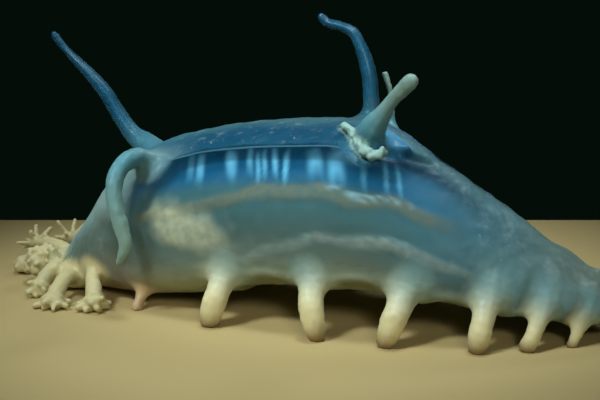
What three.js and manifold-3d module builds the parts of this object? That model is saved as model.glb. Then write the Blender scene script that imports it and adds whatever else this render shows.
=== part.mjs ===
// A sea pig, the deep-sea cucumber that walks on tube feet, as a life-size still model.
// Millimetres, +Z up. The head is towards -X, the animal's left side towards -Y, and the
// soles of its feet and the underside of its head rest at Z = 0.

import * as THREE from "three";
import { mergeVertices } from "three/addons/utils/BufferGeometryUtils.js";
import Module from "manifold-3d";

const wasm = await Module();
wasm.setup();

// Driving dimensions
const PART_GAP = 0.3; // left wherever two pieces meet
const SOFT_GAP = 0.35; // left between a limb and the body it grows from
const BIG = 200; // larger than the whole animal
const LIMB_SAMPLES = 96; // steps at which a limb's line is followed
const SLAB = 9; // breadth of the slab that divides a feeler, wider than any of them

// The body from snout to tail: place along X, height of the back, height of the belly, half-width
const BODY_STATIONS = [
  { x: -54.5, back: 3, belly: 0.4, half: 6 },
  { x: -51.8, back: 7.4, belly: 0, half: 7.8 },
  { x: -48.6, back: 11.6, belly: 0, half: 9.6 },
  { x: -44.3, back: 17.2, belly: 0, half: 12 },
  { x: -38.5, back: 25.2, belly: 0, half: 15 },
  { x: -31, back: 30.5, belly: 0, half: 17.5 },
  { x: -22, back: 33.5, belly: 0.8, half: 19.2 },
  { x: -11, back: 35.8, belly: 3.2, half: 20.2 },
  { x: 0, back: 37, belly: 4.4, half: 20.6 },
  { x: 9, back: 37.5, belly: 4.9, half: 20.6 },
  { x: 18, back: 35.9, belly: 5, half: 20.2 },
  { x: 26.5, back: 31.8, belly: 4.7, half: 19 },
  { x: 35, back: 26.6, belly: 4.2, half: 17.2 },
  { x: 46, back: 19.2, belly: 3.4, half: 13.8 },
  { x: 55, back: 13.4, belly: 2.8, half: 10 },
  { x: 61, back: 10, belly: 2.6, half: 7.2 },
  { x: 66, back: 7.6, belly: 2.8, half: 5 },
];
const SNOUT_ROUND = 3.6; // length over which the snout closes
const TAIL_ROUND = 7.5; // length over which the tail closes
const WAIST = 0.4; // share of the body's height at which it is widest
const BACK_SQUARE = 2.05; // superellipse powers: 2 is an ellipse, more is boxier
const BELLY_SQUARE = 2.7;
const BODY_AROUND = 26;
const BODY_ALONG = 30;
const BODY_CUTS = [-40.5, -17, 20, 46]; // where the body is divided into lengths
const BODY_NAMES = ["head", "trunk_front", "trunk_middle", "trunk_rear", "tail"];

// Tube feet, in pairs: root inside the flank, sole on the ground, radii at root and sole
const FEET = [
  { name: "1", rootX: -27.5, tipX: -28.2, rootY: 14, tipY: 18, rootZ: 4, thick: 2, thin: 1.5 },
  { name: "2", rootX: -7.4, tipX: -11, rootY: 15, tipY: 21.4, rootZ: 12, thick: 3.9, thin: 2.5 },
  { name: "3", rootX: 8.4, tipX: 11.6, rootY: 15, tipY: 22, rootZ: 12.5, thick: 4.1, thin: 2.2 },
  { name: "4", rootX: 27.6, tipX: 23.6, rootY: 14, tipY: 21, rootZ: 11.5, thick: 4.2, thin: 2.3 },
  { name: "5", rootX: 41.6, tipX: 40, rootY: 12, tipY: 18.4, rootZ: 10, thick: 3.6, thin: 2.3 },
  { name: "6", rootX: 51.6, tipX: 47.8, rootY: 9, tipY: 14.6, rootZ: 8, thick: 3, thin: 2 },
  { name: "7", rootX: 58.6, tipX: 55, rootY: 5.5, tipY: 9.6, rootZ: 6, thick: 2.4, thin: 1.7 },
];
const FOOT_KNEE = 0.45; // share of the way out at which a foot turns down
const FOOT_ROOT = { share: 0.72, lift: 1.5 }; // where a foot starts, inside the flank
const FOOT_SHIN = 0.6; // how far the shin stands inside the sole
const FOOT_SUNK = 0.35; // share of the sole's radius that the ground cuts off
const FOOT_AROUND = 8;
const FOOT_ALONG = 7;

// Feelers on the back (papillae): the line each follows, its radii and its lengths
const PAPILLAE = [
  {
    name: "papilla_front_left",
    line: [
      [-26, -6, 23], [-27.6, -10, 28.2], [-29.6, -15, 29.8], [-30.6, -19.4, 27.2],
      [-30, -21.4, 22.8], [-28.4, -22, 18], [-27.4, -22, 14.4], [-28.4, -22, 12], [-29.8, -22, 9.6],
    ],
    radii: [4.4, 3, 2, 1.75, 1.65, 1.6, 1.5, 1.3, 0.55],
    cuts: [0.36, 0.7],
  },
  {
    name: "papilla_front_right",
    line: [
      [-31, 5, 23], [-36.6, 6.8, 27.4], [-41.4, 8, 30.4], [-45.5, 9, 34.8],
      [-48.7, 9.6, 39], [-53.4, 10.4, 43.2], [-58.9, 11.4, 47.4], [-62.6, 12, 51.2],
    ],
    radii: [4.8, 3.2, 2.1, 1.75, 1.65, 1.35, 1, 1.05],
    cuts: [0.52],
  },
  {
    name: "papilla_rear_right",
    line: [
      [14, 5, 31], [12.9, 5.5, 35.8], [12.8, 6, 40], [11.7, 7, 46.6],
      [8.6, 8.4, 53], [5.2, 9.4, 54.6], [2.2, 10, 55.2], [0.4, 10.3, 56.8],
    ],
    radii: [6.4, 3.4, 1.8, 1.6, 1.25, 1.1, 1.05, 1],
    cuts: [0.42, 0.72],
  },
  {
    name: "papilla_rear_left",
    line: [[15, -6, 31], [17.2, -9, 36.8], [19.9, -10, 40.8], [21.8, -10.6, 43.4], [26.3, -12, 48]],
    radii: [6.4, 3.6, 1.6, 1.35, 1.7],
    cuts: [],
  },
  {
    name: "papilla_small_right",
    line: [[17, 8, 29], [15.6, 10.4, 34.4], [14.9, 12, 38.3], [14.6, 13, 41.8], [13, 14, 45.6]],
    radii: [4.4, 2, 1, 0.7, 0.9],
    cuts: [],
  },
];
const PAPILLA_AROUND = 9;
const PAPILLA_ALONG = 16;
const SMALLEST_LENGTH = 1; // cubic millimetres; a sliver smaller than this is no length of a feeler

// The short curled feeler that lies on the left flank beside the rear pair
const CURL = {
  line: [
    [10.6, -6.4, 37.6], [12.4, -7.6, 37], [14.2, -9.3, 36.1], [15.6, -11.2, 35],
    [17, -12.6, 34], [18.6, -13.2, 33.3], [20.2, -12.6, 33.6], [20.6, -11.2, 34.4],
  ],
  radii: [0.9, 0.9, 1, 1.1, 1.15, 1.1, 1, 0.8],
  around: 8,
  along: 14,
};

// Mouth: a thick collar round the snout's foot, and a recess in the underside
const COLLAR = { x: -46.8, z: 3, alongX: 8, acrossY: 10.6, tube: 2.5, around: 22, section: 7 };
const MOUTH = { x: -47.4, z: -0.6, radius: 4.6, depth: 3.6, around: 12, along: 6 };

// The ten mouth tentacles. heading turns from straight ahead towards the left (-) or right (+),
// reach is from collar to palm, rise lifts the elbow, palm is the height of the palm's middle,
// pitch is how far the palm faces up, and splay is how far its fingers stand away from that way.
const TENTACLES = [
  { heading: -118, reach: 13, rise: 2.8, palm: 1.8, pitch: -80, splay: 70 },
  { heading: -90, reach: 10.4, rise: 1.4, palm: 1.6, pitch: -84, splay: 74 },
  { heading: -62, reach: 8.6, rise: 2, palm: 1.8, pitch: -76, splay: 70 },
  { heading: -34, reach: 6.6, rise: 3.2, palm: 4.4, pitch: -46, splay: 58 },
  { heading: -8, reach: 8, rise: 2.4, palm: 2.2, pitch: -70, splay: 66 },
  { heading: 15, reach: 11, rise: 2, palm: 3.2, pitch: 50, splay: 46 },
  { heading: 40, reach: 11.4, rise: 2.4, palm: 2.9, pitch: 48, splay: 46 },
  { heading: 66, reach: 9.6, rise: 1.6, palm: 1.8, pitch: -78, splay: 70 },
  { heading: 91, reach: 9.4, rise: 1.2, palm: 1.6, pitch: -84, splay: 74 },
  { heading: 117, reach: 11, rise: 2.4, palm: 1.8, pitch: -80, splay: 70 },
];
const TENTACLE_RADII = [2.1, 1.8, 1.6, 1.8, 2.2];
const TENTACLE_AROUND = 7;
const TENTACLE_ALONG = 6;
const ELBOW = { share: 0.35, lift: 0.75 }; // of the reach and of the rise
const WRIST = { share: 0.7, lift: 0.6 };
const PALM_DEPTH = 1.3; // how far inside the end of the stalk the fingers start
const FINGERS = 5;
const FINGER = { length: 4.8, radius: 0.7, around: 4, along: 3 };

const SKIN_BLUE = material(0x6f9fb4, 0.25);
const SKIN_PALE = material(0x86abad, 0.3);
const FOOT_CREAM = material(0xb9bd9f, 0.35);
const MOUTH_CREAM = material(0xb3a878, 0.45);

function material(color, roughness) {
  return new THREE.MeshStandardMaterial({ color, roughness, metalness: 0 });
}

// How far a rounded end has opened, from 0 at the tip to 1 once past its length
function opened(distance, length) {
  const left = Math.max(0, 1 - distance / length);
  return Math.sqrt(Math.max(0, 1 - left * left));
}

// A closed form made from a sphere: place(share, turn) gives the point at a share of the
// way from its first pole to its second, turned round by an angle.
function formed(around, along, place) {
  const geometry = new THREE.SphereGeometry(1, around, along);
  const points = geometry.attributes.position;
  const p = new THREE.Vector3();
  for (let i = 0; i < points.count; i++) {
    p.fromBufferAttribute(points, i);
    const made = place((1 - p.y) / 2, Math.atan2(p.z, p.x));
    points.setXYZ(i, made.x, made.y, made.z);
  }
  return geometry;
}

// A geometry as a solid that can be cut and joined
function solid(geometry) {
  const bare = geometry.clone();
  for (const name of ["normal", "uv"]) bare.deleteAttribute(name);
  const merged = mergeVertices(bare, 1e-3);
  const mesh = {
    numProp: 3,
    vertProperties: new Float32Array(merged.attributes.position.array),
    triVerts: new Uint32Array(merged.index.array),
  };
  const made = new wasm.Manifold(new wasm.Mesh(mesh));
  if (made.volume() > 0) return made;
  for (let i = 0; i < mesh.triVerts.length; i += 3) {
    const first = mesh.triVerts[i];
    mesh.triVerts[i] = mesh.triVerts[i + 1];
    mesh.triVerts[i + 1] = first;
  }
  return new wasm.Manifold(new wasm.Mesh(mesh));
}

function geometryOf(made) {
  const mesh = made.getMesh();
  const count = mesh.vertProperties.length / mesh.numProp;
  const points = new Float32Array(count * 3);
  for (let i = 0; i < count; i++) {
    points.set(mesh.vertProperties.subarray(i * mesh.numProp, i * mesh.numProp + 3), i * 3);
  }
  const geometry = new THREE.BufferGeometry();
  geometry.setAttribute("position", new THREE.BufferAttribute(points, 3));
  geometry.setIndex(new THREE.BufferAttribute(new Uint32Array(mesh.triVerts), 1));
  geometry.computeVertexNormals();
  return geometry;
}

function box(low, high) {
  const size = new THREE.Vector3().subVectors(high, low);
  const middle = new THREE.Vector3().addVectors(high, low).multiplyScalar(0.5);
  return solid(new THREE.BoxGeometry(size.x, size.y, size.z).translate(middle.x, middle.y, middle.z));
}

const ABOVE_GROUND = box(new THREE.Vector3(-BIG, -BIG, 0), new THREE.Vector3(BIG, BIG, BIG));

// The whole body as one egg-sectioned loft. grow swells it, so that limbs can be cut to fit it.
function body(grow) {
  const heights = new THREE.CatmullRomCurve3(
    BODY_STATIONS.map((s) => new THREE.Vector3(s.x, s.back, s.belly)),
  );
  const widths = new THREE.CatmullRomCurve3(
    BODY_STATIONS.map((s) => new THREE.Vector3(s.x, s.half, 0)),
  );
  const snout = BODY_STATIONS[0].x;
  const tail = BODY_STATIONS[BODY_STATIONS.length - 1].x;
  return formed(BODY_AROUND, BODY_ALONG, (share, turn) => {
    const at = heights.getPoint(share);
    const back = at.y;
    const belly = at.z;
    const half = widths.getPoint(share).y;
    const round = opened(at.x - snout, SNOUT_ROUND) * opened(tail - at.x, TAIL_ROUND);
    const middle = belly + WAIST * (back - belly);
    const power = 2 / (Math.sin(turn) >= 0 ? BACK_SQUARE : BELLY_SQUARE);
    const across = Math.sign(Math.cos(turn)) * Math.abs(Math.cos(turn)) ** power;
    const upright = Math.sign(Math.sin(turn)) * Math.abs(Math.sin(turn)) ** power;
    const rise = upright >= 0 ? back - middle : middle - belly;
    const end = share < 0.5 ? -grow : grow;
    return new THREE.Vector3(
      at.x + end * (1 - round),
      across * (half + grow) * round,
      middle + upright * (rise + grow) * round,
    );
  });
}

// A soft limb along a smooth line, with a radius at each of its points and rounded ends
function limb(line, radii, around, along) {
  const curve = new THREE.CatmullRomCurve3(line.map((p) => new THREE.Vector3(...p)));
  const sizes = new THREE.CatmullRomCurve3(radii.map((r, i) => new THREE.Vector3(i, r, 0)));
  const frames = curve.computeFrenetFrames(LIMB_SAMPLES, false);
  const length = curve.getLength();
  return formed(around, along, (share, turn) => {
    const step = Math.round(share * LIMB_SAMPLES);
    const radius = sizes.getPoint(curve.getUtoTmapping(share)).y;
    const round =
      opened(share * length, radii[0]) * opened((1 - share) * length, radii[radii.length - 1]);
    return curve
      .getPointAt(share)
      .addScaledVector(frames.normals[step], radius * round * Math.cos(turn))
      .addScaledVector(frames.binormals[step], radius * round * Math.sin(turn));
  });
}

// The slab that a cut takes out of a limb, square to its line at a share of its length
function cutAt(line, share) {
  const curve = new THREE.CatmullRomCurve3(line.map((p) => new THREE.Vector3(...p)));
  const slab = new THREE.BoxGeometry(SLAB, SLAB, PART_GAP);
  const turned = new THREE.Quaternion().setFromUnitVectors(
    new THREE.Vector3(0, 0, 1),
    curve.getTangentAt(share),
  );
  const at = curve.getPointAt(share);
  return solid(slab.applyQuaternion(turned).translate(at.x, at.y, at.z));
}

const animal = new THREE.Group();

function add(name, made, look) {
  const mesh = new THREE.Mesh(geometryOf(made), look);
  mesh.name = name;
  animal.add(mesh);
}

const grownBody = solid(body(SOFT_GAP));

// Body, in five lengths, with the mouth's recess in the head
function makeBody() {
  const recess = solid(
    new THREE.SphereGeometry(MOUTH.radius, MOUTH.around, MOUTH.along)
      .scale(1, 1, MOUTH.depth / MOUTH.radius)
      .translate(MOUTH.x, 0, MOUTH.z),
  );
  const whole = solid(body(0)).intersect(ABOVE_GROUND).subtract(recess);
  const edges = [-BIG, ...BODY_CUTS, BIG];
  BODY_NAMES.forEach((name, i) => {
    const length = box(
      new THREE.Vector3(edges[i] + PART_GAP / 2, -BIG, -BIG),
      new THREE.Vector3(edges[i + 1] - PART_GAP / 2, BIG, BIG),
    );
    add(name, whole.intersect(length), SKIN_BLUE);
  });
}

function makeFeet() {
  for (const [side, sign] of [["left", -1], ["right", 1]]) {
    for (const foot of FEET) {
      const out = foot.rootY + (foot.tipY - foot.rootY) * FOOT_KNEE;
      const line = [
        [foot.rootX, sign * foot.rootY * FOOT_ROOT.share, foot.rootZ + FOOT_ROOT.lift],
        [foot.rootX, sign * out, foot.rootZ],
        [(foot.rootX + foot.tipX) / 2, sign * (foot.tipY - FOOT_SHIN), foot.rootZ / 2],
        [foot.tipX, sign * foot.tipY, -foot.thin * FOOT_SUNK],
      ];
      const radii = [foot.thick, foot.thick, (foot.thick + foot.thin) / 2, foot.thin];
      const made = solid(limb(line, radii, FOOT_AROUND, FOOT_ALONG))
        .subtract(grownBody)
        .intersect(ABOVE_GROUND);
      add("foot_" + side + "_" + foot.name, largest(made), FOOT_CREAM);
    }
  }
}

// The biggest of the separate bodies that a cut leaves
function largest(made) {
  return made.decompose().sort((a, b) => b.volume() - a.volume())[0];
}

function makePapillae() {
  let taken = grownBody;
  for (const papilla of PAPILLAE) {
    const whole = solid(limb(papilla.line, papilla.radii, PAPILLA_AROUND, PAPILLA_ALONG));
    let left = whole.subtract(taken);
    for (const share of papilla.cuts) left = left.subtract(cutAt(papilla.line, share));
    const root = new THREE.Vector3(...papilla.line[0]);
    const pieces = left
      .decompose()
      .filter((piece) => piece.volume() > SMALLEST_LENGTH)
      .sort((a, b) => distance(a, root) - distance(b, root))
      .slice(0, papilla.cuts.length + 1);
    pieces.forEach((piece, i) => {
      const suffix = pieces.length > 1 ? "_" + (i + 1) : "";
      add(papilla.name + suffix, piece, SKIN_PALE);
    });
    const swollen = papilla.radii.map((r) => r + SOFT_GAP);
    taken = taken.add(solid(limb(papilla.line, swollen, PAPILLA_AROUND, PAPILLA_ALONG)));
  }
  const curl = solid(limb(CURL.line, CURL.radii, CURL.around, CURL.along)).subtract(taken);
  add("papilla_curled_left", largest(curl), MOUTH_CREAM);
}

function distance(made, from) {
  const { min, max } = made.boundingBox();
  const middle = new THREE.Vector3(...min).add(new THREE.Vector3(...max)).multiplyScalar(0.5);
  return middle.distanceTo(from);
}

// The lip of skin that rings the snout's foot, which the tentacles grow from
function collar(grow) {
  const ring = new THREE.TorusGeometry(
    COLLAR.acrossY,
    COLLAR.tube + grow,
    COLLAR.section,
    COLLAR.around,
  );
  return solid(ring.scale(COLLAR.alongX / COLLAR.acrossY, 1, 1).translate(COLLAR.x, 0, COLLAR.z));
}

function makeMouth() {
  const lip = collar(0).subtract(grownBody).intersect(ABOVE_GROUND);
  add("mouth_collar", largest(lip), MOUTH_CREAM);
}

function tentacle(spec) {
  const heading = THREE.MathUtils.degToRad(spec.heading);
  const ahead = new THREE.Vector3(-Math.cos(heading), Math.sin(heading), 0);
  const root = new THREE.Vector3(
    COLLAR.x - COLLAR.alongX * Math.cos(heading),
    COLLAR.acrossY * Math.sin(heading),
    COLLAR.z,
  );
  const up = new THREE.Vector3(0, 0, 1);
  const at = (share, height) => root.clone().addScaledVector(ahead, spec.reach * share).setZ(height);
  const line = [
    root.clone(),
    at(ELBOW.share, COLLAR.z + spec.rise * ELBOW.lift),
    at(WRIST.share, (COLLAR.z + spec.palm) / 2 + spec.rise * WRIST.lift),
    at(1, spec.palm),
  ].map((p) => p.toArray());
  let made = solid(limb(line, TENTACLE_RADII, TENTACLE_AROUND, TENTACLE_ALONG));
  const pitch = THREE.MathUtils.degToRad(spec.pitch);
  const point = ahead.clone().multiplyScalar(Math.cos(pitch)).addScaledVector(up, Math.sin(pitch));
  const side = new THREE.Vector3().crossVectors(point, up).normalize();
  const over = new THREE.Vector3().crossVectors(side, point);
  const splay = THREE.MathUtils.degToRad(spec.splay);
  const palm = at(1 - PALM_DEPTH / spec.reach, spec.palm);
  for (let i = 0; i < FINGERS; i++) {
    const turn = ((i + 0.5) / FINGERS) * Math.PI * 2;
    const lean = side.clone().multiplyScalar(Math.cos(turn)).addScaledVector(over, Math.sin(turn));
    const way = point.clone().multiplyScalar(Math.cos(splay)).addScaledVector(lean, Math.sin(splay));
    const tip = palm.clone().addScaledVector(way, FINGER.length);
    const finger = [palm, palm.clone().lerp(tip, 0.5), tip].map((p) => p.toArray());
    const radii = [FINGER.radius, FINGER.radius, FINGER.radius];
    made = made.add(solid(limb(finger, radii, FINGER.around, FINGER.along)));
  }
  return made;
}

function makeTentacles() {
  const taken = grownBody.add(collar(SOFT_GAP));
  TENTACLES.forEach((spec, i) => {
    const made = tentacle(spec).subtract(taken).intersect(ABOVE_GROUND);
    add("tentacle_" + (i + 1), largest(made), MOUTH_CREAM);
  });
}

makeBody();
makeFeet();
makePapillae();
makeMouth();
makeTentacles();

// The origin goes to the middle of the animal's length and breadth, on the ground
const bounds = new THREE.Box3().setFromObject(animal);
const middle = bounds.getCenter(new THREE.Vector3());
animal.position.set(-middle.x, -middle.y, -bounds.min.z);

export default animal;
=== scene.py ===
import math
import random

import bmesh
import bpy
import numpy as np
from mathutils import Matrix, Vector, kdtree, noise


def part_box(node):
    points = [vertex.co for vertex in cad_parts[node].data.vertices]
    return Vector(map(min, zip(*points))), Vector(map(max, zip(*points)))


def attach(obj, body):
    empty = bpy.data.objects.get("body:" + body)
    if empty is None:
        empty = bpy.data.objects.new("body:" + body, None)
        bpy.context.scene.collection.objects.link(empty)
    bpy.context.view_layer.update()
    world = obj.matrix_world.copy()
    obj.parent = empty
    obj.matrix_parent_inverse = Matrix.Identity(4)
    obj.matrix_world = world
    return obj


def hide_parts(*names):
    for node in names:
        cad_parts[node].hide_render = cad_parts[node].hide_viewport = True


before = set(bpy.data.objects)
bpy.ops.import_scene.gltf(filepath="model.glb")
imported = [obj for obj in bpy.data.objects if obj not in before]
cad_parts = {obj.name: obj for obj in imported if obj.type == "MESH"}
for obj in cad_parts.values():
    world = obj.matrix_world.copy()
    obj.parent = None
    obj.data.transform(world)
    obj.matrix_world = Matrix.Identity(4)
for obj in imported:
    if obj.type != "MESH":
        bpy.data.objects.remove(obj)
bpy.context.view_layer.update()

# Skin of the body. A sea pig is a thin, wet, see-through bag of skin, stretched by sea water
# into a plump arch that tapers to the tail. It grows here from a round form whose section
# follows the animal's outline, station by station from the snout.
MM = 0.001
STATIONS = [
    # along, back, belly, half-width, in millimetres from the middle of the body
    (-54.5, 3.0, 0.4, 6.0), (-51.8, 7.4, 0.0, 7.8), (-48.6, 11.6, 0.0, 9.6), (-44.3, 17.2, 0.0, 12.0),
    (-38.5, 25.2, 0.0, 15.0), (-31.0, 30.5, 0.0, 17.5), (-22.0, 33.5, 0.8, 19.2), (-11.0, 35.8, 3.2, 20.2),
    (0.0, 37.0, 4.4, 20.6), (9.0, 37.5, 4.9, 20.6), (18.0, 35.9, 5.0, 20.2), (26.5, 31.8, 4.7, 19.0),
    (35.0, 26.6, 4.2, 17.2), (46.0, 19.2, 3.4, 13.8), (55.0, 13.4, 2.8, 10.0), (61.0, 10.0, 2.6, 7.2),
    (66.0, 7.6, 2.8, 5.0),
]
SNOUT, TAIL = STATIONS[0][0], STATIONS[-1][0]
SNOUT_ROUND, TAIL_ROUND = 3.6, 7.5
WAIST = 0.4
BACK_SQUARE, BELLY_SQUARE = 2.05, 2.7
placed = Matrix.Translation((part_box("tail")[1].x - TAIL * MM, 0, 0)) @ Matrix.Scale(MM, 4)


def smooth_table(rows, steps):
    """A smooth curve through rows of numbers, whose first column is stepped evenly."""
    rows = np.array(rows, float)
    slope = np.gradient(rows, rows[:, 0], axis=0)
    x = np.linspace(rows[0, 0], rows[-1, 0], steps)
    i = np.clip(np.searchsorted(rows[:, 0], x) - 1, 0, len(rows) - 2)
    span = (rows[i + 1, 0] - rows[i, 0])[:, None]
    t = (x[:, None] - rows[i, :1]) / span
    made = (
        (2 * t**3 - 3 * t**2 + 1) * rows[i]
        + (t**3 - 2 * t**2 + t) * span * slope[i]
        + (3 * t**2 - 2 * t**3) * rows[i + 1]
        + (t**3 - t**2) * span * slope[i + 1]
    )
    made[:, 0] = x
    return made


OUTLINE = smooth_table(STATIONS, steps=400)


def section(x):
    """Back, belly, half-width and the height of the widest line at a place along the body."""
    back, belly, half = (np.interp(x, OUTLINE[:, 0], OUTLINE[:, i]) for i in (1, 2, 3))
    return back, belly, half, belly + WAIST * (back - belly)


def opened(distance, length):
    """How far a rounded end has opened, from 0 at the tip to 1 once past its length."""
    left = max(0.0, 1 - distance / length)
    return math.sqrt(max(0.0, 1 - left * left))


def formed(bm, around, along, place):
    """A round form whose every point is put where place(share of the way to the far pole, turn) says."""
    ball = bmesh.ops.create_uvsphere(bm, u_segments=around, v_segments=along, radius=1)
    for v in ball["verts"]:
        v.co = place((1 - v.co.z) / 2, math.atan2(v.co.y, v.co.x))
    return ball["verts"]


def body_form(bm, around, along, inset=None, ends=(SNOUT, TAIL)):
    """The body, or with an inset(x) that gives back, belly and side, the wall of the cavity inside it."""
    start, stop = ends

    def place(share, turn):
        x = start + (stop - start) * share
        back, belly, half, middle = section(x)
        if inset:
            off_back, off_belly, off_side = inset(x)
            back, belly, half = back - off_back, belly + off_belly, half - off_side
        round_ = opened(x - start, SNOUT_ROUND) * opened(stop - x, TAIL_ROUND)
        c, s = math.cos(turn), math.sin(turn)
        power = 2 / (BACK_SQUARE if s >= 0 else BELLY_SQUARE)
        across = math.copysign(abs(c) ** power, c)
        upright = math.copysign(abs(s) ** power, s)
        rise = back - middle if s >= 0 else middle - belly
        return Vector((x, across * half * round_, middle + upright * rise * round_))

    return formed(bm, around, along, place)


skin_form = bmesh.new()
body_form(skin_form, around=96, along=128)

# Tube feet. Seven pairs of hollow legs, blown up with water, carry the body. Each swells out of
# the flank in a broad cone, turns down at a soft knee and stands on a small flat sole.
FEET = [
    # root along, tip along, root out, tip out, root height, thick, thin
    (-27.5, -28.2, 14.0, 17.4, 3.4, 2.0, 1.9), (-7.4, -11.0, 15.0, 21.4, 12.0, 3.9, 2.5),
    (8.4, 11.6, 15.0, 22.0, 12.5, 4.1, 2.2), (27.6, 23.6, 14.0, 21.0, 11.5, 4.2, 2.3),
    (41.6, 40.0, 12.0, 18.4, 10.0, 3.6, 2.3), (51.6, 47.8, 9.0, 14.6, 8.0, 3.0, 2.0),
    (58.6, 55.0, 5.5, 9.6, 6.0, 2.4, 1.7),
]
KNEE = 0.45
FOOT_FLARE, FOOT_HIP, FOOT_SHIN, FOOT_SOLE = 1.25, 0.88, 0.40, 0.74
LEFT, RIGHT = -1, 1


class Limb:
    """A soft limb: a smooth line with a radius all the way along it, and what kind of limb it is."""

    def __init__(self, kind, line, radii, steps=160):
        rows = [(i, *p, r) for i, (p, r) in enumerate(zip(line, radii))]
        table = smooth_table(rows, steps)
        self.kind, self.points, self.radii = kind, table[:, 1:4], table[:, 4]
        paces = np.linalg.norm(np.diff(self.points, axis=0), axis=1)
        self.far = np.concatenate([[0], np.cumsum(paces)])
        self.length = self.far[-1]
        self.frames = []
        side = Vector((0, 0, 1)).cross(Vector(self.points[1] - self.points[0]))
        side = side.normalized() if side.length > 1e-6 else Vector((1, 0, 0))
        for way in np.gradient(self.points, axis=0):
            way = Vector(way).normalized()
            side = (side - way * side.dot(way)).normalized()
            self.frames.append((side, way.cross(side)))

    def at(self, share):
        """The index of the sample at a share of the length."""
        return int(np.clip(np.searchsorted(self.far, share * self.length), 0, len(self.far) - 1))

    def form(self, bm, around=28, along=64, swell=1.0):
        """The limb as a round form, closed by a dome at each end."""
        ends = self.radii[0] * swell, self.radii[-1] * swell

        def place(share, turn):
            i = self.at(share)
            side, over = self.frames[i]
            round_ = opened(share * self.length, ends[0]) * opened((1 - share) * self.length, ends[1])
            r = self.radii[i] * swell * round_
            return Vector(self.points[i]) + side * (r * math.cos(turn)) + over * (r * math.sin(turn))

        return formed(bm, around, along, place)


limbs = []
for side in (LEFT, RIGHT):
    for root_x, tip_x, root_y, tip_y, root_z, thick, thin in FEET:
        out = root_y + (tip_y - root_y) * KNEE
        line = [
            (root_x, side * root_y * 0.5, root_z + 6),
            (root_x, side * out * 0.8, root_z + 1.6),
            ((root_x + tip_x) / 2, side * (tip_y - 0.6), root_z / 2),
            (tip_x, side * tip_y, -thin * 0.35),
        ]
        radii = [thick * FOOT_FLARE, thick * FOOT_HIP, (thick + thin) * FOOT_SHIN, thin * FOOT_SOLE]
        limbs.append(Limb("foot", line, radii))

# Feelers on the back, called papillae: soft horns, blown up with water. The front pair grows behind
# the head, and its left one hangs down beside it. Behind the middle stand a long and a shorter one,
# with a small one and a curled one next to them.
FEELERS = {
    "front_left": (
        [(-26, -6, 23), (-27.6, -10, 28.2), (-29.6, -15, 29.8), (-30.6, -19.4, 27.2), (-30, -21.4, 22.8),
         (-28.4, -22, 18), (-27.4, -22, 14.4), (-28.4, -22, 12), (-29.8, -22, 9.6)],
        [4.4, 3.0, 2.0, 1.75, 1.65, 1.6, 1.5, 1.3, 0.55],
    ),
    "front_right": (
        [(-31, 5, 23), (-36.6, 6.8, 27.4), (-41.4, 8, 30.4), (-45.5, 9, 34.8),
         (-48.7, 9.6, 39), (-53.4, 10.4, 43.2), (-58.9, 11.4, 47.4), (-62.6, 12, 51.2)],
        [4.8, 3.2, 2.1, 1.75, 1.65, 1.35, 1.0, 1.05],
    ),
    "rear_right": (
        [(14, 5, 31), (12.9, 5.5, 35.8), (12.8, 6, 40), (11.7, 7, 46.6),
         (8.6, 8.4, 53), (5.2, 9.4, 54.6), (2.2, 10, 55.2), (0.4, 10.3, 56.8)],
        [5.6, 3.2, 1.8, 1.6, 1.25, 1.1, 1.05, 1.0],
    ),
    "rear_left": (
        [(15, -6, 31), (17.2, -9, 36.8), (19.9, -10, 40.8), (21.8, -10.6, 43.4), (26.3, -12, 48)],
        [5.0, 2.9, 1.7, 1.35, 1.7],
    ),
    "small_right": (
        [(17, 8, 29), (15.6, 10.4, 34.4), (14.9, 12, 38.3), (14.6, 13, 41.8), (13, 14, 45.6)],
        [4.4, 2.0, 1.0, 0.7, 0.9],
    ),
}
CURL = (
    [(10.6, -6.4, 37.6), (12.4, -7.6, 37), (14.2, -9.3, 36.1), (15.6, -11.2, 35),
     (17, -12.6, 34), (18.6, -13.2, 33.3), (20.2, -12.6, 33.6), (20.6, -11.2, 34.4)],
    [0.9, 0.9, 1.0, 1.1, 1.15, 1.1, 1.0, 0.8],
)
# The rear pair stands on a low mound of flesh, with a fold behind it.
SWELLINGS = [((14.5, -1.5, 32.4), (7.0, 8.5, 4.4)), ((20.4, -4.8, 33.0), (4.2, 3.2, 1.9))]
feelers = {name: Limb("feeler", *of) for name, of in FEELERS.items()}
limbs += feelers.values()
for part in limbs:
    part.form(skin_form)
for spot, size in SWELLINGS:
    swelling = Matrix.Translation(spot) @ Matrix.Diagonal((*size, 1))
    bmesh.ops.create_uvsphere(skin_form, u_segments=40, v_segments=24, radius=1, matrix=swelling)


def cut_at_floor(bm):
    """Cuts away what a form has below the floor, which leaves the flat soles."""
    everything = bm.verts[:] + bm.edges[:] + bm.faces[:]
    bmesh.ops.bisect_plane(
        bm, geom=everything, plane_co=(0, 0, 0), plane_no=(0, 0, -1), clear_outer=True
    )
    bmesh.ops.holes_fill(bm, edges=[e for e in bm.edges if e.is_boundary], sides=0)


cut_at_floor(skin_form)


def object_of(name, bm):
    """A bmesh in millimetres as an object in metres, at the animal's place in the frame."""
    bm.transform(placed)
    bmesh.ops.recalc_face_normals(bm, faces=bm.faces)
    mesh = bpy.data.meshes.new(name)
    bm.to_mesh(mesh)
    bm.free()
    made = bpy.data.objects.new(name, mesh)
    bpy.context.scene.collection.objects.link(made)
    return made


def settled(piece):
    """Applies a piece's modifiers, so that its mesh is what they make."""
    seen = piece.evaluated_get(bpy.context.evaluated_depsgraph_get())
    mesh = bpy.data.meshes.new_from_object(seen)
    piece.modifiers.clear()
    piece.data = mesh


def remeshed(piece, voxel):
    """Joins a piece's overlapping forms into one closed skin."""
    change = piece.modifiers.new("joined", "REMESH")
    change.mode, change.voxel_size, change.use_smooth_shade = "VOXEL", voxel * MM, True
    settled(piece)


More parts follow.
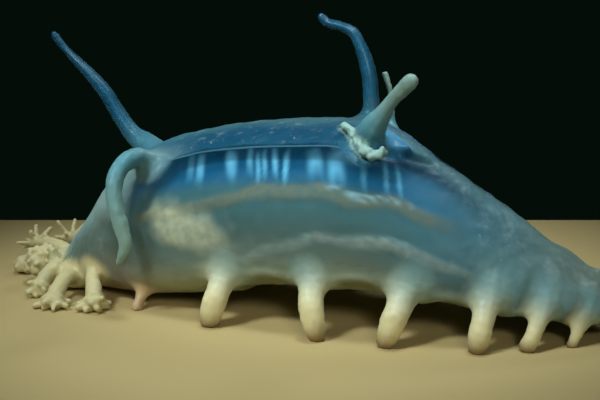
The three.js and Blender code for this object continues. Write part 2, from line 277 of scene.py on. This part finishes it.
SKIN_VOXEL = 0.58
skin = object_of("skin", skin_form)
remeshed(skin, SKIN_VOXEL)

# Mouth: a fleshy lip round the underside of the snout, from which ten tentacles grow. Each has a
# thick stalk and a palm fringed with fingers, which shovel mud into the mouth.
COLLAR_X, COLLAR_Z = -46.8, 3.0
COLLAR_ALONG, COLLAR_ACROSS, COLLAR_TUBE = 8.0, 10.6, 2.5
TENTACLES = [
    # heading, reach, rise, palm height, pitch, palm radius, finger length, how many fingers
    (-121, 13.4, 3.4, 1.9, -64, 2.3, 1.5, 15), (-97, 11.6, 1.6, 1.6, -80, 2.3, 1.6, 15),
    (-70, 5.4, 2.0, 1.8, -60, 2.1, 1.9, 15), (-37, 2.6, 2.0, 4.6, 24, 3.3, 1.0, 70),
    (-8, 8.4, 2.4, 2.1, -60, 2.3, 1.8, 13), (15, 11.6, 2.0, 4.0, 62, 1.3, 4.0, 8),
    (40, 11.4, 2.4, 3.4, 56, 1.4, 3.8, 8), (66, 9.6, 1.6, 1.9, -78, 2.2, 1.9, 13),
    (91, 9.4, 1.2, 1.9, -84, 2.2, 1.9, 13), (117, 11.0, 2.4, 2.0, -80, 2.2, 1.9, 13),
]
STALK = [2.2, 1.8, 1.5, 1.7, 1.8]
# A palm with more fingers than BALL_FINGERS is a round ball, which they cover nearly all over.
FINGER_RADIUS, PALM_FLAT, BALL_FINGERS = 0.66, 0.72, 20
BALL_SPREAD, HAND_SPREAD, FINGER_BEND, FLOOR_GAP = 125, 92, 0.3, 0.5
GOLDEN_TURN = math.pi * (3 - math.sqrt(5))
LIP_UNEVEN = 0.14
chance = random.Random(11)
crown_form = bmesh.new()
tentacles = []
lip = bmesh.ops.create_circle(crown_form, segments=20, radius=COLLAR_TUBE)
bmesh.ops.rotate(crown_form, verts=lip["verts"], matrix=Matrix.Rotation(math.pi / 2, 3, "X"))
bmesh.ops.translate(crown_form, verts=lip["verts"], vec=(COLLAR_ACROSS, 0, 0))
bmesh.ops.spin(
    crown_form, geom=lip["verts"] + crown_form.edges[:], cent=(0, 0, 0), axis=(0, 0, 1),
    angle=2 * math.pi, steps=96, use_merge=True,
)
for v in crown_form.verts:
    v.co.z *= 1 + LIP_UNEVEN * noise.noise(v.co * 0.33)
    v.co = Vector((COLLAR_X + v.co.x * COLLAR_ALONG / COLLAR_ACROSS, v.co.y, COLLAR_Z + v.co.z))
curl = Limb("curl", *CURL)
curl.form(crown_form, swell=0.85)

for heading, reach, rise, palm_z, pitch, wide, finger_length, fingers in TENTACLES:
    turn = math.radians(heading)
    ahead = Vector((-math.cos(turn), math.sin(turn), 0))
    root = Vector((COLLAR_X - COLLAR_ALONG * math.cos(turn), COLLAR_ACROSS * math.sin(turn), COLLAR_Z))

    def out_at(share, height):
        spot = root + ahead * (reach * share)
        return Vector((spot.x, spot.y, height))

    palm = out_at(1, palm_z)
    line = [
        root, out_at(0.35, COLLAR_Z + rise * 0.75),
        out_at(0.7, (COLLAR_Z + palm_z) / 2 + rise * 0.6), palm,
    ]
    radii = np.interp(np.linspace(0, 1, len(line)), np.linspace(0, 1, len(STALK)), STALK)
    stalk = Limb("tentacle", line, radii)
    stalk.form(crown_form, around=20, along=36)
    tentacles.append(stalk)
    tip = math.radians(pitch)
    point = ahead * math.cos(tip) + Vector((0, 0, math.sin(tip)))
    side = point.cross(Vector((0, 0, 1))).normalized()
    over = side.cross(point)
    tentacles.append(Limb("palm", [palm - point * 0.5, palm + point * 0.5], [wide, wide], steps=8))
    flat, widest = (1, BALL_SPREAD) if fingers > BALL_FINGERS else (PALM_FLAT, HAND_SPREAD)
    ball = Matrix.Translation(palm) @ point.to_track_quat("Z", "Y").to_matrix().to_4x4()
    ball = ball @ Matrix.Diagonal((1, 1, flat, 1))
    bmesh.ops.create_uvsphere(crown_form, u_segments=24, v_segments=14, radius=wide, matrix=ball)
    for i in range(fingers):
        swing = i * GOLDEN_TURN + chance.uniform(-0.25, 0.25)
        lean = side * math.cos(swing) + over * math.sin(swing)
        spread = math.radians(widest * math.sqrt((i + 0.5) / fingers) + chance.uniform(-6, 6))
        way = point * math.cos(spread) + lean * math.sin(spread)
        length = wide + finger_length * chance.uniform(0.65, 1.1)
        bend = Vector((chance.uniform(-1, 1), chance.uniform(-1, 1), chance.uniform(-1, 0.4))) * FINGER_BEND
        line = [palm, palm + way * (length * 0.55) + bend * 0.5, palm + way * length + bend]
        line = [Vector((p.x, p.y, max(p.z, FLOOR_GAP))) for p in line]
        r = FINGER_RADIUS * chance.uniform(0.8, 1.15)
        finger = Limb("tentacle", line, [r * 1.3, r, r * 0.85], steps=24)
        finger.form(crown_form, around=10, along=14)
        tentacles.append(finger)

cut_at_floor(crown_form)
CROWN_VOXEL = 0.36
crown = object_of("crown", crown_form)
remeshed(crown, CROWN_VOXEL)

# The animal in one skin. Body, limbs and mouth are one tissue with no seam: the crown is joined to
# the skin, every root is smoothed into the flesh round it, and folds and wrinkles rise over it.
joined = skin.modifiers.new("joined", "BOOLEAN")
joined.operation, joined.solver, joined.object = "UNION", "MANIFOLD", crown
settled(skin)
bpy.data.objects.remove(crown)


def ease(low, high, value):
    """0 at low and 1 at high, smooth between and flat beyond. It falls where low is the greater."""
    t = np.clip((value - low) / (high - low), 0, 1)
    return t * t * (3 - 2 * t)


def points_of(piece):
    """A piece's vertices, in millimetres from the middle of the body."""
    flat = np.empty(len(piece.data.vertices) * 3)
    piece.data.vertices.foreach_get("co", flat)
    return (flat.reshape(-1, 3) - np.array(placed.translation)) / MM


def put_points(piece, points):
    piece.data.vertices.foreach_set("co", (points * MM + np.array(placed.translation)).ravel())
    piece.data.update()


def normals_of(piece):
    flat = np.empty(len(piece.data.vertices) * 3)
    piece.data.vertices.foreach_get("normal", flat)
    return flat.reshape(-1, 3)


def girth_of(p):
    """Where points lie round the body: 1 along the back, 0 at the widest line, -1 under the belly."""
    back, belly, half, middle = section(p[:, 0])
    rise = np.where(p[:, 2] > middle, back - middle, middle - belly)
    return np.arctan2((p[:, 2] - middle) / rise, np.abs(p[:, 1]) / half) / (math.pi / 2)


def off_body(p):
    """About how far points stand from the plain body, in millimetres."""
    back, belly, half, middle = section(p[:, 0])
    upper = p[:, 2] > middle
    rise = np.where(upper, back - middle, middle - belly)
    power = np.where(upper, BACK_SQUARE, BELLY_SQUARE)
    reach = (np.abs(p[:, 1] / half) ** power + np.abs((p[:, 2] - middle) / rise) ** power) ** (1 / power)
    return (reach - 1) * np.minimum(half, rise)


def nearness(p, group):
    """For each point, the nearest limb of a group, and how far along it and away from it the point is.

    Gives the limb's number, the share of its length, the distance in radii and the gap in millimetres.
    """
    samples = [(i, k) for i, limb in enumerate(group) for k in range(0, len(limb.points), 2)]
    tree = kdtree.KDTree(len(samples))
    for n, (i, k) in enumerate(samples):
        tree.insert(group[i].points[k], n)
    tree.balance()
    found = []
    for point in p:
        _, n, distance = tree.find(point)
        i, k = samples[n]
        thick = group[i].radii[k]
        found.append((i, group[i].far[k] / group[i].length, distance / thick, distance - thick))
    return np.array(found).T


def noise_over(p, scale, seed=0.0):
    """Smooth noise from about -1 to 1 at each point, finer where the scale is greater."""
    return np.array([noise.noise(Vector(q) * scale + Vector((seed, seed, seed))) for q in p])


def hold(piece, **kept):
    """Keeps numbers for each vertex, which the piece's material reads by their names."""
    for name, values in kept.items():
        held = piece.data.attributes.new(name, "FLOAT", "POINT")
        held.data.foreach_set("value", values.astype(np.float32))


lip_turns = np.linspace(0, 2 * math.pi, 40)
lip_ring = Limb(
    "lip",
    [(COLLAR_X - COLLAR_ALONG * math.cos(a), COLLAR_ACROSS * math.sin(a), COLLAR_Z) for a in lip_turns],
    [COLLAR_TUBE] * len(lip_turns),
)
# Smoothing: many turns where limbs grow out of the body, and a few all over, weaker on the crown.
ROOT_TURNS, SKIN_TURNS = 110, 7
p = points_of(skin)
_, _, near, _ = nearness(p, limbs)
_, _, near_mouth, _ = nearness(p, tentacles + [lip_ring])
root = ease(2.3, 1.1, near) * ease(4.0, 0.8, np.abs(off_body(p)))
_, _, near_curl, _ = nearness(p, [curl])
root *= ease(1.2, 1.6, near_curl)
root = np.maximum(root, ease(1.7, 1.05, near_mouth) * ease(2.2, 0.6, np.abs(off_body(p))))
root *= ease(0.02, 0.4, p[:, 2])
soft = ease(0.0, 0.3, p[:, 2]) * np.where(near_mouth < 1.5, 0.4, 1) * ease(0.9, 1.8, near_curl)
for name, weights, turns in (("roots", root, ROOT_TURNS), ("all", soft, SKIN_TURNS)):
    group = skin.vertex_groups.new(name=name)
    for i in np.flatnonzero(weights > 0.01):
        group.add([int(i)], float(weights[i]), "REPLACE")
    change = skin.modifiers.new(name, "SMOOTH")
    change.vertex_group, change.factor, change.iterations = name, 0.5, turns
settled(skin)
skin.vertex_groups.clear()

# Relief: lumps on the body, creases all over, rings round feet and feelers, a hollow behind the rear
# feelers, arches of thicker skin between the feet, and the mouth's recess. All are in millimetres.
LUMPS, SMALL_LUMPS, CREASES, RINGS, CURL_LUMPS = 0.45, 0.22, 0.12, 0.035, 0.5
RING_PITCH = 1.3
MOUTH_X, MOUTH_WIDE, MOUTH_DEEP = -47.4, 4.6, 3.4
ARCH_RISE, ARCH_SPAN, ARCH_RIM, ARCH_SINK, ARCH_DROP, ARCH_OUT = 5.5, 18, 0.35, 0.7, 6, 4
BACK_SINK = 0.9
HOLLOW = [
    (19.6, -9.4, 33.0), (21.8, -7.9, 32.7), (23.4, -6.1, 32.5), (25.1, -4.3, 32.1), (27.2, -1.6, 31.2),
]
HOLLOW_WIDE, HOLLOW_DEEP = 1.6, 0.9
NUB_X = -20
p = points_of(skin)
out = normals_of(skin)
which, share, near, gap = nearness(p, limbs)
_, _, _, gap_mouth = nearness(p, tentacles + [lip_ring])
kinds = np.array([limb.kind for limb in limbs])[which.astype(int)]
length = np.array([limb.length for limb in limbs])[which.astype(int)]
close = ease(2.4, 1.0, near)
foot = close * (kinds == "foot") * ease(0.10, 0.42, share - 0.3 * (p[:, 0] < NUB_X))
feeler = ease(1.7, 1.1, near) * (kinds == "feeler") * ease(0.16, 0.42, share)
curled = ease(1.6, 1.1, nearness(p, [curl])[2])
crown_near = ease(2.6, 0.6, gap_mouth)
_, _, near_hollow, _ = nearness(p, [Limb("hollow", HOLLOW, [HOLLOW_WIDE] * len(HOLLOW))])
hollow = ease(1.25, 0.2, near_hollow) * (1 - feeler) * (1 - curled)
girth = girth_of(p)
bare = 1 - np.maximum.reduce([foot, feeler, crown_near, curled])

lumps = noise_over(p, 0.11) * LUMPS + noise_over(p, 0.34, 7.0) * SMALL_LUMPS
creases = noise_over(p * np.array([1.5, 1, 0.55]), 0.9, 3.0) * CREASES
rings = np.sin(share * length * 2 * math.pi / RING_PITCH + noise_over(p, 0.7, 5.0) * 3) * RINGS
lift = lumps * bare + creases + rings * (foot + feeler * 0.7)
lift -= hollow * HOLLOW_DEEP
lift -= ease(18, 32, p[:, 0]) * ease(0.3, 0.75, girth) * BACK_SINK * bare
lift += curled * noise_over(p, 1.0, 6.0) * CURL_LUMPS
under_arch, arch_rim = np.zeros(len(p)), np.zeros(len(p))
for (x0, _, _, _, z0, _, _), (x1, _, _, _, z1, _, _) in zip(FEET[1:], FEET[2:]):
    t = (p[:, 0] - x0) / (x1 - x0)
    inside = (t > 0) & (t < 1) & (np.abs(p[:, 1]) > ARCH_OUT)
    bow = np.sin(np.clip(t, 0, 1) * math.pi) ** 0.7
    top = (z0 + z1) / 2 - ARCH_DROP + ARCH_RISE * bow * abs(x1 - x0) / ARCH_SPAN
    arch_rim = np.maximum(arch_rim, inside * ease(1.6, 0.2, np.abs(p[:, 2] - top)))
    under_arch = np.maximum(under_arch, inside * ease(0.0, 2.4, top - p[:, 2]))
lift += (arch_rim * ARCH_RIM - under_arch * ARCH_SINK) * bare
lift *= ease(0.0, 0.8, p[:, 2])
p += out * lift[:, None]
mouth = ease(MOUTH_WIDE, MOUTH_WIDE * 0.45, np.hypot(p[:, 0] - MOUTH_X, p[:, 1])) * (out[:, 2] < 0.2)
mouth *= ease(6.0, 4.0, p[:, 2])
p[:, 2] += mouth * MOUTH_DEEP
p[:, 2] = np.maximum(p[:, 2], 0.0)
put_points(skin, p)

# How opaque the flesh is, from 0 to 1. The flank is a clear window on the cavity inside. It fades into
# the milky head and tail, and ends in a sharp edge under the back.
BACK_FLESH, TAIL_FLESH, ROOT_FLESH = 0.86, 0.66, 0.84
FOOT_FLESH, HORN_FLESH, CANAL_FLESH = 0.92, 0.93, 0.40
MOUND, MOUND_FLESH = (19.6, -5.0, 35.0), 0.9
window = np.interp(girth, [-0.4, -0.15, 0.1, 0.45], [0.8, 0.45, 0.3, 0.18])
window = np.maximum(window, TAIL_FLESH * ease(20, 46, p[:, 0]))
edge = np.interp(p[:, 0], [-24, -16, 0, 10, 19, 26], [0.57, 0.612, 0.617, 0.627, 0.69, 0.72])
melting = 0.035 + 0.22 * ease(18, 30, p[:, 0])
opening = ease(edge + melting, edge - 0.005, girth) * ease(-0.42, -0.12, girth)
opening *= ease(-38, -23, p[:, 0] - 5 * (girth - 0.4)) * ease(66, 40, p[:, 0])
flesh = BACK_FLESH * (1 - opening) + window * opening
off_mound = np.linalg.norm((p - np.array(MOUND)) * np.array([0.8, 1, 1.4]), axis=1)
mound = ease(7.0, 2.5, off_mound) * MOUND_FLESH
clear_horns = feelers["front_right"], feelers["rear_right"]
canalled = np.isin(which, [i for i, limb in enumerate(limbs) if limb in clear_horns])
flesh = flesh * (1 - feeler) + feeler * np.where(canalled, CANAL_FLESH, HORN_FLESH)
roots = (kinds == "feeler") * (1 - canalled * feeler) * ease(5.0, 0.6, gap)
flesh = np.maximum.reduce([flesh, foot * FOOT_FLESH, roots * ROOT_FLESH, curled, mound, crown_near])
hold(
    skin, flesh=flesh, girth=girth, foot=foot, milky=feeler * (1 - canalled), canalled=feeler * canalled,
    crown=crown_near, share=share, hollow=hollow, curled=curled, arch=arch_rim * bare,
    under=under_arch * bare, mound=mound,
)


class Wire:
    """One output of a material's nodes. Sums of wires and numbers add the Math nodes that work them out."""

    def __init__(self, finish, socket):
        self.finish, self.socket = finish, socket

    def sum_of(self, operation, first, second):
        return self.finish.node("Math", {"operation": operation}, {0: first, 1: second})

    def __add__(self, other):
        return self.sum_of("ADD", self, other)

    def __radd__(self, other):
        return self.sum_of("ADD", other, self)

    def __sub__(self, other):
        return self.sum_of("SUBTRACT", self, other)

    def __rsub__(self, other):
        return self.sum_of("SUBTRACT", other, self)

    def __mul__(self, other):
        return self.sum_of("MULTIPLY", self, other)

    def __rmul__(self, other):
        return self.sum_of("MULTIPLY", other, self)

    def eased(self, low, high):
        """0 at low and 1 at high, smooth between and flat beyond."""
        values = {"Value": self, "From Min": low, "From Max": high}
        return self.finish.node("MapRange", {"interpolation_type": "SMOOTHSTEP"}, values)

    def bump_at(self, middle, width):
        """1 where this is middle, falling to 0 a width away on both sides."""
        return self.finish.node("Math", {"operation": "ABSOLUTE"}, {0: self - middle}).eased(width, 0)


class Finish:
    """A material, and the nodes that its expressions are made of. Constants are set by socket name."""

    def __init__(self, name, **constants):
        self.material = bpy.data.materials.new(name)
        self.material.use_nodes = True
        self.tree = self.material.node_tree
        self.surface = self.tree.nodes["Principled BSDF"]
        for socket, value in constants.items():
            self.surface.inputs[socket.replace("_", " ")].default_value = value
        self.place = self.node("TexCoord", output="Object")

    def feed(self, socket, value):
        """Links a wire to a socket, or sets the socket to a plain value."""
        if isinstance(value, Wire):
            self.tree.links.new(value.socket, socket)
        else:
            socket.default_value = value

    def node(self, kind, settings=None, values=None, output=0):
        """A new node with its settings and socket values, as the wire from one of its outputs."""
        made = self.tree.nodes.new("ShaderNode" + kind)
        for name, value in (settings or {}).items():
            setattr(made, name, value)
        for socket, value in (values or {}).items():
            self.feed(made.inputs[socket], value)
        return Wire(self, made.outputs[output])

    def held(self, name):
        """The number that hold() kept under this name."""
        return self.node("Attribute", {"attribute_name": name}, output="Fac")

    def mottle(self, size, detail=2.0, seed=0.0):
        """Soft noise from about 0.3 to 0.7, whose patches are size millimetres across."""
        moved = self.node("VectorMath", {"operation": "ADD"}, {0: self.place, 1: (seed, seed, seed)})
        return self.node("TexNoise", None, {"Vector": moved, "Scale": 1 / (size * MM), "Detail": detail})

    def blend(self, under, over, mask):
        """One colour going over to another where the mask is 1."""
        return self.node("Mix", {"data_type": "RGBA"}, {0: mask, 6: under, 7: over}, output=2)

    def along(self):
        """The place along the body, in millimetres from its middle."""
        apart = self.node("SeparateXYZ", None, {0: self.place})
        return apart * (1 / MM) - placed.translation.x / MM

    def finished(self, **fed):
        """The material, with wires or values fed to the named sockets of its surface."""
        for socket, value in fed.items():
            self.feed(self.surface.inputs[socket.replace("_", " ")], value)
        return self.material


def shade(red, green, blue):
    """A colour as a screen shows it, 0 to 255, in the linear light that Blender mixes."""
    seen = [c / 255 for c in (red, green, blue)]
    return (*(((c + 0.055) / 1.055) ** 2.4 if c > 0.04 else c / 12.92 for c in seen), 1)


def dressed(piece, material, nodes=()):
    """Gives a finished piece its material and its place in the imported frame."""
    piece.data.materials.clear()
    piece.data.materials.append(material)
    piece.data.shade_smooth()
    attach(piece, "root")
    if nodes:
        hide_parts(*nodes)


# Wet skin: milky flesh that goes from sand-coloured under the belly through teal to deep blue under
# the back, paler on the head and tail, with cream legs and tentacles and fine pale specks.
wet = Finish(
    "wet_skin", Subsurface_Weight=0.25, Subsurface_Radius=(1.0, 0.9, 0.8), Subsurface_Scale=1.6 * MM,
    Coat_Weight=0.15, Coat_Roughness=0.3, Sheen_Weight=0.10, Sheen_Roughness=0.45,
    Sheen_Tint=shade(150, 205, 220), Specular_Tint=shade(120, 190, 220),
)
x, around = wet.along(), wet.held("girth")
broad, fine, grain = wet.mottle(9), wet.mottle(2.2, seed=0.3), wet.mottle(0.55, seed=0.7)
round_ = around + (broad - 0.5) * 0.25
tone = wet.blend(shade(168, 172, 138), shade(108, 138, 132), round_.eased(-0.6, 0.1))
tone = wet.blend(tone, shade(36, 98, 118), round_.eased(0.15, 0.5))
tone = wet.blend(tone, shade(10, 66, 92), round_.eased(0.5, 0.68))
tone = wet.blend(tone, shade(56, 96, 104), around.eased(0.78, 0.98))

head = wet.blend(shade(150, 138, 112), shade(98, 118, 108), round_.eased(-0.5, 0.1))
head = wet.blend(head, shade(134, 164, 156), round_.eased(0.15, 0.5))
head = wet.blend(head, shade(62, 116, 130), round_.eased(0.6, 0.8))
head = wet.blend(head, shade(160, 118, 84), round_.eased(-0.35, -0.75) * 0.8)
tone = wet.blend(tone, head, x.eased(-16, -36))

tail = wet.blend(shade(140, 150, 132), shade(84, 122, 124), round_.eased(-0.8, 0.2))
tail = wet.blend(tail, shade(76, 116, 120), round_.eased(0.3, 0.8))
tail = wet.blend(tail, shade(112, 124, 104), x.eased(38, 60) * 0.8)
tone = wet.blend(tone, tail, x.eased(20, 46))

tone = wet.blend(tone, shade(52, 134, 176), wet.held("mound"))
share = wet.held("share")
horn = wet.blend(shade(78, 138, 150), shade(134, 166, 154), share.eased(0.3, 0.85))
tone = wet.blend(tone, horn, wet.held("milky"))
tone = wet.blend(tone, shade(46, 118, 142), wet.held("canalled"))
tone = wet.blend(tone, shade(140, 176, 166), wet.held("curled"))

leg = wet.blend(shade(118, 158, 158), shade(222, 214, 164), share.eased(0.38, 0.8) + (broad - 0.5) * 0.3)
leg = wet.blend(leg, shade(134, 106, 58), share.eased(0.8, 0.97))
leg = wet.blend(leg, shade(192, 166, 124), x.eased(-18, -24))
tone = wet.blend(tone, leg, wet.held("foot"))

tone = wet.blend(tone, shade(196, 186, 136), wet.held("crown"))
# Painted shadow: the hollow behind the rear feelers is darkened, as if shaded by the fold over it.
tone = wet.blend(tone, shade(20, 56, 64), wet.held("hollow") * 0.35)
tone = wet.blend(tone, shade(168, 184, 168), wet.held("arch") * 0.5)
tone = wet.blend(tone, shade(112, 112, 84), wet.held("under") * 0.5)
tone = wet.blend(tone, shade(150, 164, 150), fine.eased(0.58, 0.75) * 0.2)
specks = grain.eased(0.68, 0.76) * around.eased(0.0, 0.6) * (1 - wet.held("canalled"))
tone = wet.blend(tone, shade(176, 200, 190), specks * 0.6)
veil = wet.held("flesh") + (broad - 0.5) * 0.18 + (fine - 0.5) * 0.12
rough = fine * 0.5 + grain * 0.35
ripple = wet.node("Bump", None, {"Height": rough, "Distance": 0.16 * MM, "Strength": 0.6})
finish = wet.finished(Base_Color=tone, Roughness=0.42 + fine * 0.2, Alpha=veil.eased(0, 1), Normal=ripple)
dressed(skin, finish, list(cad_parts))

# Body cavity. Through the clear flank shows a dark, water-filled cavity, with the gut looped along
# it as a mud-filled, cream band. Its lining is a smaller body inside the first.
CAVITY_ENDS = (-41.0, 60.0)
# Where bands run on the lining, each as places along the body and heights.
GUT = [
    (-30, 17.5), (-25.8, 18.9), (-14.6, 22.0), (-4.3, 24.9), (1.8, 25.7), (11.5, 25.9), (24.3, 24.2),
    (36, 20),
]
GUT_HALF, SECOND_HALF, GLINT_HALF = 1.9, 1.6, 0.9
# Glints: bands of painted highlight on the lining, each as places along the body and heights.
GLINTS = [
    [(10, 26.4), (13, 26.8), (18, 25.4), (24, 24.4), (28, 24.2)],
    [(5, 17.6), (9.5, 18.2), (14, 17.8)],
    [(18, 18.2), (23, 18.6), (29, 17.6)],
]
# The mass of mud in the gut: its middle, how long and high it is, and its slope.
MASS_X, MASS_Z, MASS_LONG, MASS_HIGH, MASS_SLOPE = -16.5, 16.8, 10.5, 4.6, 0.14
SECOND_GUT = [(-14, 9.4), (-6, 12.2), (2.6, 15.8), (9.5, 17.9), (23.4, 18.0), (37.6, 12.5), (48, 8)]
# Streaks across the lining: low folds, whose pale colour is painted highlight.
STREAKS = [
    # along as the flank is seen, half-width, brightness
    (-23.0, 1.1, 0.55), (-20.9, 1.3, 0.8), (-14.3, 1.7, 0.85), (-10.4, 1.0, 0.8), (-8.6, 0.8, 0.7),
    (-7.2, 0.8, 0.75), (-5.0, 0.9, 0.95), (-2.7, 0.9, 0.85), (3.0, 2.2, 0.75), (7.2, 2.6, 0.95),
    (12.5, 0.9, 0.45), (16.8, 0.8, 0.5), (19.5, 0.8, 0.4),
]
STREAK_LEAN, STREAK_UNEVEN = 0.364, 0.14


def cavity_inset(x):
    """How far the lining lies inside the skin: under the back, over the belly and at the flank."""
    return float(np.interp(x, [-30, -10, 10, 30, 50], [3.6, 4.2, 5.0, 3.0, 2.2])), 2.5, 2.6


lining = bmesh.new()
body_form(lining, around=160, along=280, inset=cavity_inset, ends=CAVITY_ENDS)
cavity = object_of("body_cavity", lining)
p = points_of(cavity)
out = normals_of(cavity)
girth = girth_of(p)
sway = noise_over(p, 0.16, 2.0)


def band(line, half):
    """1 in the middle of a band that runs at the line's heights, 0 past its half-width and its ends."""
    line = np.array(line)
    start, stop = line[0, 0], line[-1, 0]
    middle = np.interp(p[:, 0], line[:, 0], line[:, 1])
    within = ease(start - 2, start + 3, p[:, 0]) * ease(stop + 2, stop - 8, p[:, 0])
    return ease(half, half * 0.25, np.abs(p[:, 2] - middle + sway * 0.8)) * within


# A thin pale line along the lining just under the back, where its edge shows through the skin: a painted
# highlight.
thread = girth - np.interp(p[:, 0], [-27, -20, -11, -3, 7], [0.79, 0.85, 0.84, 0.865, 0.90])
gut, second = band(GUT, GUT_HALF), band(SECOND_GUT, SECOND_HALF)
ragged = np.maximum.reduce([band(line, GLINT_HALF) for line in GLINTS])
ragged *= ease(-0.3, 0.35, noise_over(p * np.array([0.5, 1, 1.6]), 0.9, 4.0))
beside = p[:, 0] - MASS_X
mass = np.hypot(beside / MASS_LONG, (p[:, 2] - MASS_Z + beside * MASS_SLOPE) / MASS_HIGH)
mass = ease(1.3, 0.25, mass + sway * 0.35 + noise_over(p, 0.45, 9.0) * 0.22)
leaned = p[:, 0] - np.abs(p[:, 1]) * STREAK_LEAN
# Folds in the lining, raised a little, and painted pale as highlight along each streak.
folds = sum(
    highlight * ease(half, half * 0.15, np.abs(leaned - middle + sway * 0.5))
    for middle, half, highlight in STREAKS
)
uneven = np.array([noise.noise((float(v) * 0.42, 3.0, 1.0)) for v in leaned]) * STREAK_UNEVEN
folds = np.minimum(folds, 1) * ease(0.86, 0.70, girth + uneven) * ease(0.38, 0.58, girth + uneven)
p += out * (gut * 0.3 + second * 0.25 + mass * 0.5 + folds * 0.15)[:, None]
put_points(cavity, p)
hold(
    cavity, gut=gut, second=second, mass=mass, folds=folds, girth=girth, thread=thread, ragged=ragged
)

# The lining glows a little: a painted glow that stands in for light that falls through the skin and is
# scattered in the water behind it.
inside = Finish("cavity_lining", Roughness=0.6, Specular_Tint=shade(90, 190, 220), Emission_Strength=0.22)
x, around = inside.along(), inside.held("girth")
broad, fine = inside.mottle(8), inside.mottle(1.6, seed=0.4)
deep = inside.blend(shade(96, 106, 90), shade(44, 80, 82), around.eased(-0.4, 0.25))
deep = inside.blend(deep, shade(6, 72, 108), around.eased(0.32, 0.5))
deep = inside.blend(deep, shade(62, 108, 122), x.eased(14, 44) * 0.8)
# Painted highlight on the streaks, pale blue over the low folds.
deep = inside.blend(deep, shade(118, 212, 250), inside.held("folds") * (0.2 + broad))
deep = inside.blend(deep, shade(100, 98, 64), inside.held("gut") * (0.15 + fine))
# Painted glints: blue-white highlight along the glint bands.
deep = inside.blend(deep, shade(146, 202, 214), inside.held("ragged") * (0.1 + fine) * 0.7)
deep = inside.blend(deep, shade(136, 152, 142), inside.held("second") * (0.15 + fine))
deep = inside.blend(deep, shade(190, 194, 156), inside.held("mass") * (0.35 + fine * 0.7))
# Painted highlight: the thin pale line along the top of the lining.
highlight = inside.held("thread").bump_at(0.0, 0.035) * x.eased(-32, -24) * x.eased(20, 14)
deep = inside.blend(deep, shade(140, 220, 245), highlight)
dressed(cavity, inside.finished(Base_Color=deep, Emission_Color=deep))

# Water canals. A dark canal runs up the middle of each feeler and blows it up like a balloon. It
# shows in the two clear ones, so it is made in those alone.
CANAL_SHARE = 0.62
canal_form = bmesh.new()
for horn in clear_horns:
    horn.form(canal_form, around=20, along=80, swell=CANAL_SHARE)
canals = object_of("feeler_canals", canal_form)
water = Finish("canal_lining", Roughness=0.3)
blue = water.blend(shade(6, 78, 120), shade(18, 118, 164), water.mottle(1.4).eased(0.5, 0.8))
dressed(canals, water.finished(Base_Color=blue))

# Stage: a plain pale board for a floor, turned to the camera, soft studio lamps close above it in
# a dark room, and the camera where the photo's was.
AZIMUTH, ELEVATION, LENS, DISTANCE = math.radians(20), math.radians(13), 70, 233.33 * MM
BOARD_HALF = (0.25, 0.066)
floor_form = bmesh.new()
board_place = Matrix.Rotation(AZIMUTH, 4, "Z") @ Matrix.Diagonal((*BOARD_HALF, 1, 1))
bmesh.ops.create_grid(floor_form, x_segments=1, y_segments=1, size=1, matrix=board_place)
floor_mesh = bpy.data.meshes.new("floor")
floor_form.to_mesh(floor_mesh)
floor_form.free()
floor = bpy.data.objects.new("floor", floor_mesh)
bpy.context.scene.collection.objects.link(floor)
plain = Finish("plain_floor", Roughness=0.9, Base_Color=shade(176, 157, 104))
floor.data.materials.append(plain.material)

LAMPS_AIM = Vector((0.0, 0.0, 0.02))
LAMPS = [
    # name, place in metres, size, watts, colour, spread in degrees
    ("key", (-0.14, -0.22, 0.34), 0.12, 0.042, (0.90, 0.97, 1.0), 21),
    ("fill", (0.16, -0.26, 0.22), 0.12, 0.015, (1.0, 0.95, 0.86), 22),
    ("top", (0.02, 0.02, 0.36), 0.12, 0.026, (0.80, 0.93, 1.0), 21),
    ("back", (0.06, 0.24, 0.26), 0.12, 0.012, (0.85, 0.95, 1.0), 21),
]
for name, spot, size, watts, colour, spread in LAMPS:
    lamp = bpy.data.lights.new(name, "AREA")
    lamp.size, lamp.energy, lamp.color, lamp.spread = size, watts, colour, math.radians(spread)
    shown = bpy.data.objects.new(name, lamp)
    shown.location = spot
    shown.rotation_euler = (LAMPS_AIM - Vector(spot)).to_track_quat("-Z", "Y").to_euler()
    bpy.context.scene.collection.objects.link(shown)

world = bpy.data.worlds.new("dim_room")
world.use_nodes = True
world.node_tree.nodes["Background"].inputs["Color"].default_value = (0.0014, 0.0040, 0.0026, 1)
bpy.context.scene.world = world
bpy.context.scene.view_settings.view_transform = "Standard"

AIM = placed @ Vector((0, 0, 20.7))
away = Vector((
    math.sin(AZIMUTH) * math.cos(ELEVATION), -math.cos(AZIMUTH) * math.cos(ELEVATION), math.sin(ELEVATION)
))
lens = bpy.data.cameras.new("camera")
lens.lens, lens.clip_start = LENS, 0.01
camera = bpy.data.objects.new("camera", lens)
camera.location = AIM + away * DISTANCE
camera.rotation_euler = away.to_track_quat("Z", "Y").to_euler()
bpy.context.scene.collection.objects.link(camera)
bpy.context.scene.camera = camera
